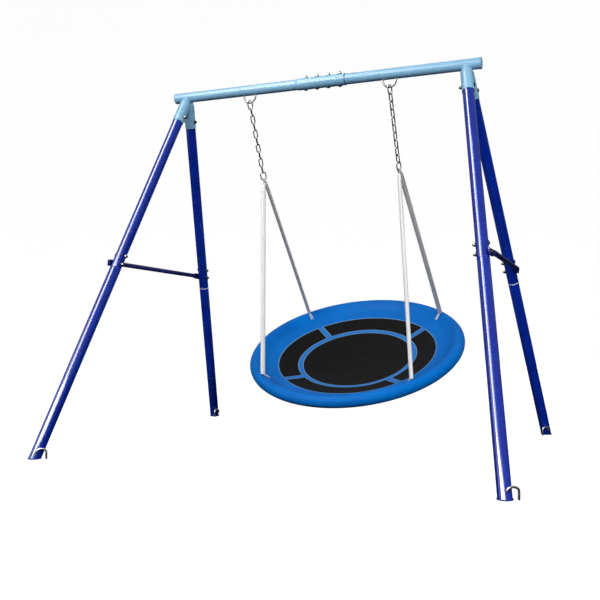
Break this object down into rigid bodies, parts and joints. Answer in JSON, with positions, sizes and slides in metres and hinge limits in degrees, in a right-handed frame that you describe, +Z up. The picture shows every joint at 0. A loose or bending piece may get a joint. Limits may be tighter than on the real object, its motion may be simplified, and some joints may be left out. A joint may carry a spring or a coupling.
{
  "type": "saucer nest swing",
  "caption": "Round nest swing seat with a padded rim, hung by sleeved ropes and chains from a bolted tube A-frame stand.",
  "frame": {"origin": "on the ground, under the middle of the bounding box of the whole swing with its seat swung back 26 degrees", "axes": "+X along the top beam to the right as seen from the front, +Y to the back, +Z up"},
  "size_m": [1.7606, 1.7004, 1.535],
  "materials": {
    "sky_paint": "gloss powder coat, light blue",
    "sky_cap": "light blue end cap",
    "blue_paint": "high gloss powder coat, royal blue",
    "navy_paint": "gloss powder coat, navy",
    "foot_plastic": "dark blue moulded foot",
    "zinc": "bright zinc plate",
    "bare_steel": "plain steel tube, hidden",
    "rope_cord": "braided white cord",
    "rope_sleeve": "flexible white sleeve",
    "pad_foam": "closed foam, hidden",
    "azure_fabric": "coated woven cloth, azure",
    "mat_fabric": "printed woven cloth, black and blue"
  },
  "bodies": {
    "frame": {"beam_left": "sky_paint", "beam_right": "sky_paint", "beam_cap_left": "sky_cap", "beam_cap_right": "sky_cap", "beam_bolt_1": "zinc", "beam_bolt_2": "zinc", "beam_bolt_3": "zinc", "beam_bolt_4": "zinc", "hanger_eye_left": "zinc", "hanger_eye_right": "zinc", "upper_leg_front_left": "blue_paint", "lower_leg_front_left": "blue_paint", "foot_cap_front_left": "foot_plastic", "ground_hook_front_left": "zinc", "stub_bolt_front_left": "zinc", "joint_bolt_front_left": "zinc", "brace_bolt_front_left": "zinc", "upper_leg_back_left": "blue_paint", "lower_leg_back_left": "blue_paint", "foot_cap_back_left": "foot_plastic", "ground_hook_back_left": "zinc", "stub_bolt_back_left": "zinc", "joint_bolt_back_left": "zinc", "brace_bolt_back_left": "zinc", "upper_leg_front_right": "blue_paint", "lower_leg_front_right": "blue_paint", "foot_cap_front_right": "foot_plastic", "ground_hook_front_right": "zinc", "stub_bolt_front_right": "zinc", "joint_bolt_front_right": "zinc", "brace_bolt_front_right": "zinc", "upper_leg_back_right": "blue_paint", "lower_leg_back_right": "blue_paint", "foot_cap_back_right": "foot_plastic", "ground_hook_back_right": "zinc", "stub_bolt_back_right": "zinc", "joint_bolt_back_right": "zinc", "brace_bolt_back_right": "zinc", "brace_left": "navy_paint", "brace_right": "navy_paint"},
    "top_link_left": {"top_link_left": "zinc"},
    "top_link_right": {"top_link_right": "zinc"},
    "chain_left": {"chain_left": "zinc"},
    "chain_right": {"chain_right": "zinc"},
    "connector_left": {"connector_left": "zinc"},
    "connector_right": {"connector_right": "zinc"},
    "seat": {"rope_front_left": "rope_cord", "rope_sleeve_front_left": "rope_sleeve", "rope_back_left": "rope_cord", "rope_sleeve_back_left": "rope_sleeve", "rope_front_right": "rope_cord", "rope_sleeve_front_right": "rope_sleeve", "rope_back_right": "rope_cord", "rope_sleeve_back_right": "rope_sleeve", "rim_tube": "bare_steel", "rim_foam": "pad_foam", "rim_cover": "azure_fabric", "seat_mat": "mat_fabric"}
  },
  "joints": [
    {"name": "swing", "type": "hinge", "parent": "frame", "child": "top_link_left", "pos_m": [-0.31505, -0.1287, 1.447], "axis": [1, 0, 0], "range_deg": [-71, 19]},
    {"name": "swing_right", "type": "hinge", "parent": "frame", "child": "top_link_right", "pos_m": [0.30495, -0.1287, 1.447], "axis": [1, 0, 0], "range_deg": [-71, 19]},
    {"name": "sway", "type": "hinge", "parent": "top_link_left", "child": "chain_left", "pos_m": [-0.31505, -0.11752, 1.42408], "axis": [0, 0.8988, 0.4384], "range_deg": [-11, 11]},
    {"name": "sway_right", "type": "hinge", "parent": "top_link_right", "child": "chain_right", "pos_m": [0.30495, -0.11752, 1.42408], "axis": [0, 0.8988, 0.4384], "range_deg": [-11, 11]},
    {"name": "connector_left_pivot", "type": "hinge", "parent": "chain_left", "child": "connector_left", "pos_m": [-0.31505, 0.00684, 1.16909], "axis": [0, 0.8988, 0.4384], "range_deg": [-11, 11]},
    {"name": "connector_right_pivot", "type": "hinge", "parent": "chain_right", "child": "connector_right", "pos_m": [0.30495, 0.00684, 1.16909], "axis": [0, 0.8988, 0.4384], "range_deg": [-11, 11]},
    {"name": "seat_pitch", "type": "hinge", "parent": "connector_left", "child": "seat", "pos_m": [-0.31505, 0.02153, 1.13898], "axis": [1, 0, 0], "range_deg": [-15, 15]}
  ],
  "couplings": [
    {"joint": "swing_right", "follows": "swing", "ratio": 1},
    {"joint": "sway_right", "follows": "sway", "ratio": 1},
    {"joint": "connector_left_pivot", "follows": "sway", "ratio": -1},
    {"joint": "connector_right_pivot", "follows": "sway", "ratio": -1}
  ]
}
